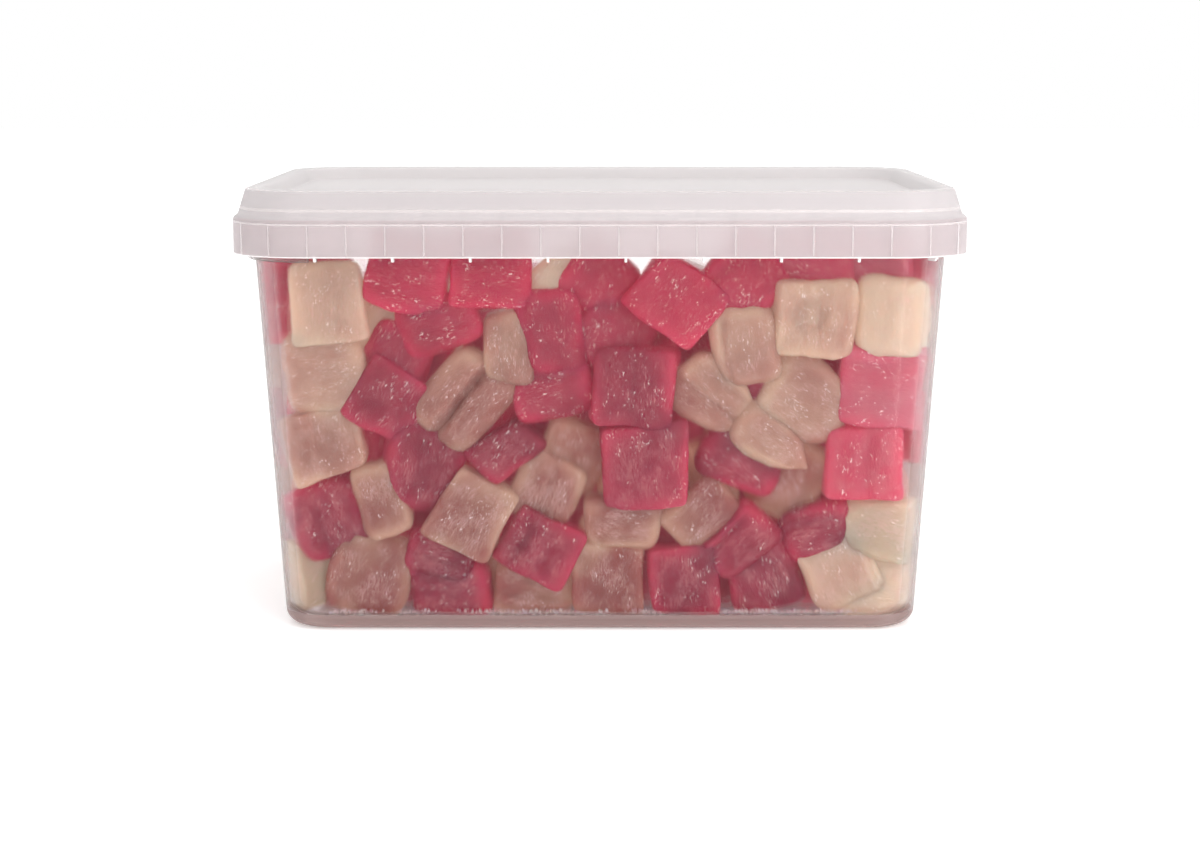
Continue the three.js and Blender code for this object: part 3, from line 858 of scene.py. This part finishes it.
def lid_stations():
    """The lid's shell, from the underside of the panel over the inside of the ridge and the skirt,
    round the skirt's edge, up the outside and down to the panel."""
    channel_top = HEIGHT - WALL
    return [lid_station(half, z) for half, z in (
        (PANEL_HALF, PANEL_TOP - WALL),
        (RIDGE_INNER_HALF, channel_top - 0.6),
        (RIDGE_INNER_HALF + 0.8, channel_top),
        (RIDGE_HALF - 1.6, channel_top),
        (RIDGE_HALF - 1, channel_top - 0.6),
        (LEDGE_HALF - WALL, LEDGE_TOP - 0.3),
        (SKIRT_HALF - WALL, SKIRT_TOP - 0.3),
        (SKIRT_HALF - WALL, SKIRT_BOTTOM + 0.2),
        (SKIRT_HALF - WALL + 0.2, SKIRT_BOTTOM),
        (SKIRT_HALF - 0.25, SKIRT_BOTTOM),
        (SKIRT_HALF, SKIRT_BOTTOM + 0.25),
        (SKIRT_HALF, SKIRT_BOTTOM + EDGE_LINE),
        (SKIRT_HALF, SKIRT_TOP - 0.4),
        (SKIRT_HALF, SKIRT_TOP),
        (SKIRT_HALF - 0.12, SKIRT_TOP + 0.6),
        (SKIRT_HALF - 0.4, SKIRT_TOP + 1),
        (LEDGE_HALF + 0.2, LEDGE_TOP),
        (LEDGE_HALF, LEDGE_TOP + 0.4),
        (ridge_half(RIBS_TOP - 0.6), RIBS_TOP - 0.6),
        (ridge_half(RIBS_TOP + 0.2), RIBS_TOP + 0.2),
        (RIDGE_HALF, HEIGHT - 0.9),
        (RIDGE_HALF - 0.25, HEIGHT - 0.3),
        (RIDGE_HALF - 0.9, HEIGHT),
        (RIDGE_INNER_HALF + 0.6, HEIGHT),
        (RIDGE_INNER_HALF - 0.2, HEIGHT - 0.25),
        (RIDGE_INNER_HALF - 0.7, HEIGHT - 0.7),
        (PANEL_HALF - 0.2, PANEL_TOP + 0.3),
        (PANEL_HALF - 1.0, PANEL_TOP),
    )]


def finish_bands(shell, bands, material):
    """Gives a shell's outer faces within some bands of height a material of their own."""
    slot = len(shell.data.materials)
    shell.data.materials.append(material)
    for face in shell.data.polygons:
        heights = [shell.data.vertices[i].co.z / MM for i in face.vertices]
        outer = face.normal.xy.dot(face.center.xy) > 1e-6
        for low, high in bands:
            if outer and low - 0.01 < min(heights) and max(heights) < high + 0.01:
                face.material_index = slot


def plate(outline, thickness):
    """An upright plate, in metres, whose outline is [outwards, z] pairs in mm, clockwise from
    the side; +X points outwards."""
    half, count = thickness / 2 * MM, len(outline)
    points = [(out * MM, y, z * MM) for y in (-half, half) for out, z in outline]
    faces = [tuple(range(count)), tuple(reversed(range(count, 2 * count)))]
    for i in range(count):
        j = (i + 1) % count
        faces.append((j, i, i + count, j + count))
    return points, faces


def new_tree(name, inputs):
    """An empty Geometry Nodes tree with its named inputs, and their sockets."""
    tree = bpy.data.node_groups.new(name, "GeometryNodeTree")
    tree.interface.new_socket("Geometry", in_out="OUTPUT", socket_type="NodeSocketGeometry")
    for label, kind in inputs.items():
        tree.interface.new_socket(label, in_out="INPUT", socket_type="NodeSocket" + kind)
    return tree, add_node(tree, "NodeGroupInput").outputs


def finish_tree(tree, instances, material):
    """Makes the instances real and gives them their material."""
    real = add_node(tree, "GeometryNodeRealizeInstances", {"Geometry": instances})
    dressed = add_node(tree, "GeometryNodeSetMaterial", {"Geometry": real, "Material": material})
    add_node(tree, "NodeGroupOutput", {"Geometry": dressed})
    return tree


def plates_round_tree():
    """Geometry Nodes that set a plate evenly round a rounded rectangle, each facing outwards."""
    tree, given = new_tree("plates_round", {
        "Plate": "Geometry", "Width": "Float", "Depth": "Float", "Corner": "Float", "Start": "Float",
        "Count": "Int", "Material": "Material",
    })
    rectangle = add_node(tree, "GeometryNodeCurvePrimitiveQuadrilateral", {
        "Width": given["Width"], "Height": given["Depth"],
    })
    path = add_node(tree, "GeometryNodeFilletCurve", {
        "Curve": rectangle, "Radius": given["Corner"], "Count": 16,
    }, mode="POLY")
    length = add_node(tree, "GeometryNodeCurveLength", {"Curve": path})
    way = add_node(tree, "GeometryNodeInputIndex")
    for operation, operand in (
        ("ADD", given["Start"]), ("DIVIDE", given["Count"]), ("MULTIPLY", length),
    ):
        way = add_node(tree, "ShaderNodeMath", {0: way, 1: operand}, operation=operation)
    sample = add_node(tree, "GeometryNodeSampleCurve", {"Curves": path, "Length": way},
                      mode="LENGTH", use_all_curves=True)
    # The path runs anticlockwise.
    outwards = add_node(tree, "ShaderNodeVectorMath", {0: sample.outputs["Tangent"], 1: (0, 0, 1)},
                        operation="CROSS_PRODUCT")
    turn = add_node(tree, "FunctionNodeAlignRotationToVector", {"Vector": outwards},
                    axis="X", pivot_axis="Z")
    points = add_node(tree, "GeometryNodePoints", {
        "Count": given["Count"], "Position": sample.outputs["Position"],
    })
    plates = add_node(tree, "GeometryNodeInstanceOnPoints", {
        "Points": points, "Instance": given["Plate"], "Rotation": turn,
    })
    return finish_tree(tree, plates, given["Material"])


def applied_nodes(source, tree, values):
    """A plain mesh object made by the tree from the source object, which it takes the place of."""
    modifier = source.modifiers.new("nodes", "NODES")
    modifier.node_group = tree
    for item in tree.interface.items_tree:
        if item.in_out == "INPUT" and item.name in values:
            modifier[item.identifier] = values[item.name]
    evaluated = source.evaluated_get(bpy.context.evaluated_depsgraph_get())
    mesh = bpy.data.meshes.new_from_object(evaluated)
    source.modifiers.remove(modifier)
    source.data = mesh
    return source


def plates_round(name, outline, thickness, inset, count, material, tree):
    """Plates evenly round the skirt, moved in by inset mm."""
    half = SKIRT_HALF - inset
    source = make_object(name, *plate(outline, thickness))
    straight = half - (SKIRT_CORNER - inset)
    around = 4 * (2 * straight - HALF_DIFFERENCE) + 2 * math.pi * (SKIRT_CORNER - inset)
    return applied_nodes(source, tree, {
        "Width": 2 * half * MM,
        "Depth": 2 * (half - HALF_DIFFERENCE) * MM,
        "Corner": (SKIRT_CORNER - inset) * MM,
        "Start": (straight / around * count) % 1,
        "Count": count,
        "Material": material,
    })


def scattered_crumbs_tree():
    """Geometry Nodes that scatter crumbs over a surface in patches, each of its own size and turn."""
    tree, given = new_tree("scattered_crumbs", {
        "Surface": "Geometry", "Density": "Float", "Patch Scale": "Float", "Smallest": "Float",
        "Largest": "Float", "Seed": "Int", "Material": "Material",
    })
    patches = add_node(tree, "ShaderNodeTexNoise", {"Scale": given["Patch Scale"], "Detail": 1.0})
    share = add_node(tree, "ShaderNodeMapRange", {
        "Value": patches, "From Min": 0.42, "From Max": 0.62, "To Max": given["Density"],
    })
    points = add_node(tree, "GeometryNodeDistributePointsOnFaces", {
        "Mesh": given["Surface"], "Density": share, "Seed": given["Seed"],
    })
    size, flatness, angles = (
        add_node(tree, "FunctionNodeRandomValue", {**limits, "Seed": given["Seed"]}, data_type=kind)
        for kind, limits in (
            ("FLOAT", {2: given["Smallest"], 3: given["Largest"]}),
            ("FLOAT_VECTOR", {0: (0.7, 0.7, 0.4), 1: (1.0, 1.0, 0.8)}),
            ("FLOAT_VECTOR", {0: (-3.0, -3.0, -3.0), 1: (3.0, 3.0, 3.0)}),
        )
    )
    scale = add_node(tree, "ShaderNodeVectorMath", {0: flatness, "Scale": size.outputs[1]},
                     operation="SCALE")
    turn = add_node(tree, "FunctionNodeEulerToRotation", {0: angles})
    crumb = add_node(tree, "GeometryNodeMeshIcoSphere", {"Radius": 1.0, "Subdivisions": 1})
    crumbs = add_node(tree, "GeometryNodeInstanceOnPoints", {
        "Points": points, "Instance": crumb, "Rotation": turn, "Scale": scale,
    })
    return finish_tree(tree, crumbs, given["Material"])


def base_crumbs(material):
    """Crumbs and sugar dust in the rounded corner all round the tub's floor."""
    points, faces = loft([floor_station(1 - step / 8, 2 * CLEARANCE) for step in range(5)])
    strip = make_object("sugar_crumbs", points, faces[:-2])
    return applied_nodes(strip, scattered_crumbs_tree(), {
        "Density": CRUMB_DENSITY, "Patch Scale": 1 / (CRUMB_PATCH * MM),
        "Smallest": CRUMB_RADII[0] * MM, "Largest": CRUMB_RADII[1] * MM,
        "Seed": CRUMB_SEED, "Material": material,
    })


def lid_rib_outline():
    """An upright rib of the lid: in the skirt's wall, over the step and up inside the ridge."""
    return [
        (-0.5, COLLAR_TOP + CLEARANCE), (-2.3, RIBS_TOP - 0.3), (-1.9, RIBS_TOP - 0.3),
        (WALL + RIB_PROUD, SKIRT_TOP - 0.5), (WALL + RIB_PROUD, SKIRT_BOTTOM + 0.4),
        (0.0, SKIRT_BOTTOM + 0.4),
    ]


def gusset_outline():
    """A small gusset between the tub's wall and the underside of its collar."""
    reach = COLLAR_HALF - wall_half(COLLAR_BOTTOM) - 0.4
    return [
        (-0.9, COLLAR_BOTTOM - GUSSET_DROP), (-0.9, COLLAR_BOTTOM + 0.5),
        (reach, COLLAR_BOTTOM + 0.5), (reach * 0.45, COLLAR_BOTTOM - GUSSET_DROP),
    ]


def make_tab(material):
    """The tear-off tab that hangs under the skirt round the front left corner only."""
    count = TAB_STEPS + 1
    points = []
    for inset, z in (
        (WALL / 2, TAB_BOTTOM), (0.8 - TAB_REACH, TAB_BOTTOM), (-TAB_REACH, TAB_BOTTOM + 1),
        (-TAB_REACH, COLLAR_BOTTOM + 0.5), (WALL / 2, COLLAR_BOTTOM + 0.5),
    ):
        # The third corner of a ring is the front left one.
        points += ring(*wall_station(z, inset), TAB_STEPS)[2 * count:3 * count]
    starts = range(0, len(points), count)
    faces = []
    for start in starts:
        for j in range(start, start + TAB_STEPS):
            above = (j + count) % len(points)
            faces.append((j, above, above + 1, j + 1))
    faces.append(tuple(reversed(starts)))
    faces.append(tuple(start + TAB_STEPS for start in starts))
    tab = make_object("tear_off_tab", points, faces, material, 30)
    shape = bmesh.new()
    shape.from_mesh(tab.data)
    bmesh.ops.recalc_face_normals(shape, faces=shape.faces)
    shape.to_mesh(tab.data)
    shape.free()
    return tab


def make_core(material):
    """A plain core in the middle of the heap, which no one can see."""
    heights = FLOOR_TOP + CLEARANCE, CORE_TOP
    points, faces = loft([(CORE_HALF[0], z, 6.0) for z in heights], 4)
    squash = CORE_HALF[1] / (CORE_HALF[0] - HALF_DIFFERENCE)
    return make_object("heap_core", [(x, y * squash, z) for x, y, z in points], faces, material)


# ---- build

TUB_MATERIAL = clear_tub_plastic()
# The gussets are painted white: painted highlights for the light their edges scatter, small white
# ticks under the skirt.
GUSSET_PAINTED_HIGHLIGHT = milky_plastic("gusset_painted_highlight", "#FFFCFC", 0.2)
# The floor's edge is painted as a dusky pink-grey band: painted shade, with the colour of the
# sweets painted in, for where one looks through the floor edgewise.
FOOT_PAINTED_SHADE_MATERIAL = milky_plastic("thick_foot_with_painted_shade", "#B59C98", 0.5,
                              straight_through=0.25)
# The panel is one wall thick: pale grey, and what lies under it is only a blurred tint.
LID_MATERIAL = milky_plastic("milky_moulded_polypropylene", "#EDE9E9", 0.4, 0.5)
# The ridge is painted a little darker and greyer than the panel: painted shade, as it stands over
# air and the tub's lip.
RIDGE_MATERIAL = milky_plastic("milky_ridge_with_painted_shade", "#E4DEDF", 0.45, 0.5)
# The skirt lies close to the sweets: the most see-through, so that their pink comes through it,
# and a little of that pink is also painted into its colour.
SKIRT_MATERIAL = milky_plastic("milky_skirt_with_painted_pink", "#E9DDDF", 0.62, 0.4)
# Edges, steps and ribs are solid plastic, which scatters more. The rolled edge and the steps are
# also painted whiter, as thin whitish lines: painted highlights where they catch the light.
EDGE_PAINTED_HIGHLIGHT = milky_plastic("rolled_edge_painted_highlight", "#FBF6F6", 0.2)
STEP_PLASTIC_AND_PAINTED_HIGHLIGHT = milky_plastic("milky_step_with_painted_highlight", "#EEE6E6", 0.4)
RIB_MATERIAL = milky_plastic("milky_polypropylene_rib", "#E8DEDF", 0.4)
# Pink sugar is painted red at its cut edges and cream sugar honey there: painted light. Set back
# from the front, both are painted darker, cream going brown: painted shade. Both have a painted glow.
PINK_SUGAR = sugar("pulled_pink_sugar", pale="#B86272", clear="#BE2C4E", dusky="#781D36",
                   painted_depth_shade="#98263E", edge="#CC3A5C", bloom="#D2898E", glow=0.28)
CREAM_SUGAR = sugar("pulled_cream_sugar", pale="#9F957F", clear="#D4BCA6", dusky="#8A4C48",
                    painted_depth_shade="#A8604E", edge="#D6BCA2", bloom="#D8B8B2", glow=0.31)

PLATES_ROUND = plates_round_tree()

tub = make_object("tub_moulding", *loft(tub_stations()), TUB_MATERIAL, 30)
# A band of painted shade round the foot.
finish_bands(tub, [(0.0, FLOOR_TOP + 1.5)], FOOT_PAINTED_SHADE_MATERIAL)
lid = make_object("lid_moulding", *loft(lid_stations()), LID_MATERIAL, 30)
# Painted highlights: whiter bands on the rolled edge and the steps.
finish_bands(lid, [(SKIRT_BOTTOM - 0.1, SKIRT_BOTTOM + EDGE_LINE)], EDGE_PAINTED_HIGHLIGHT)
finish_bands(lid, [(SKIRT_TOP + 0.5, HEIGHT)], RIDGE_MATERIAL)
finish_bands(lid, [(SKIRT_BOTTOM + EDGE_LINE, SKIRT_TOP + 1)], SKIRT_MATERIAL)
finish_bands(lid, [
    (SKIRT_TOP - 0.4, SKIRT_TOP), (RIBS_TOP - 0.6, RIBS_TOP + 0.2), (HEIGHT - 0.3, HEIGHT),
], STEP_PLASTIC_AND_PAINTED_HIGHLIGHT)
ribs = plates_round("lid_ribs", lid_rib_outline(), RIB_THICKNESS, WALL, RIB_COUNT, RIB_MATERIAL,
                    PLATES_ROUND)
gusset_inset = SKIRT_HALF - wall_half(COLLAR_BOTTOM)
gussets = plates_round("collar_gussets", gusset_outline(), GUSSET_THICKNESS, gusset_inset,
                       GUSSET_COUNT, GUSSET_PAINTED_HIGHLIGHT, PLATES_ROUND)
tab = make_tab(TUB_MATERIAL)
piles = lay_sweets()
pink = piles[P].build(PINK_SUGAR)
cream = piles[C].build(CREAM_SUGAR)
core = make_core(PINK_SUGAR)
crumbs = base_crumbs(sugar_dust())

for node, slot, pieces in (
    ("tub", "clear_plastic", (tub, gussets, tab)),
    ("lid", "milky_plastic", (lid, ribs)),
    ("sweets_heap", "boiled_sugar", (pink, cream, core, crumbs)),
):
    for piece in pieces:
        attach(piece, "root")
        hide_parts(node)

# ---- floor, light and camera

def make_stage():
    """A plain floor of matt white paper. It gives the eye an even white with hardly a shadow."""
    material, tree = new_material("pale_paper")
    shader = add_node(tree, "ShaderNodeBsdfPrincipled", {
        "Base Color": linear("#FAFAFA"), "Roughness": 0.9, "Specular IOR Level": 0.1,
        "Emission Color": linear("#FFFFFF"), "Emission Strength": 0.3,
    })
    finish_material(material, shader)
    side = 4.0
    corners = [(-side, -side, 0), (side, -side, 0), (side, side, 0), (-side, side, 0)]
    floor = make_object("floor", corners, [(0, 1, 2, 3)], material)


def make_light(name, place, target, size, power):
    """A white soft box at a place, aimed at a target and hidden from the camera."""
    light = bpy.data.lights.new(name, "AREA")
    light.shape = "RECTANGLE"
    light.size, light.size_y = size
    light.energy = power
    made = add_object(name, light)
    made.location = place
    made.rotation_euler = (Vector(target) - Vector(place)).to_track_quat("-Z", "Y").to_euler()
    made.visible_camera = False


def make_world():
    world = bpy.data.worlds.new("white_studio")
    world.use_nodes = True
    background = world.node_tree.nodes["Background"]
    background.inputs["Color"].default_value = linear("#FFFFFF")
    background.inputs["Strength"].default_value = 1.0
    bpy.context.scene.world = world


def make_camera(place, degrees_down, lens):
    """The camera, in front of the long side and a little above it."""
    camera = bpy.data.cameras.new("camera")
    camera.lens = lens
    camera.sensor_width = 36
    made = add_object("camera", camera)
    made.location = place
    made.rotation_euler = (math.radians(90 - degrees_down), 0, 0)
    bpy.context.scene.camera = made


make_stage()
make_world()
make_light("overhead", (0.1, -0.1, 1.0), (0, 0, 0.05), (0.9, 0.7), 1.5)
make_light("right_front", (0.7, -0.6, 0.7), (0, 0, 0.06), (0.3, 0.3), 1.8)
make_light("corner_strip", (0.175, -0.185, 0.06), (0.08, -0.06, 0.06), (0.02, 0.14), 0.05)
make_light("window", (0.3, -0.9, 0.5), (0, 0, 0.06), (0.07, 0.07), 0.9)
make_camera((0.0, -0.662, 0.1585), 9.32, 67.5)
bpy.context.scene.view_settings.view_transform = "Standard"
bpy.context.scene.cycles.diffuse_bounces = 8
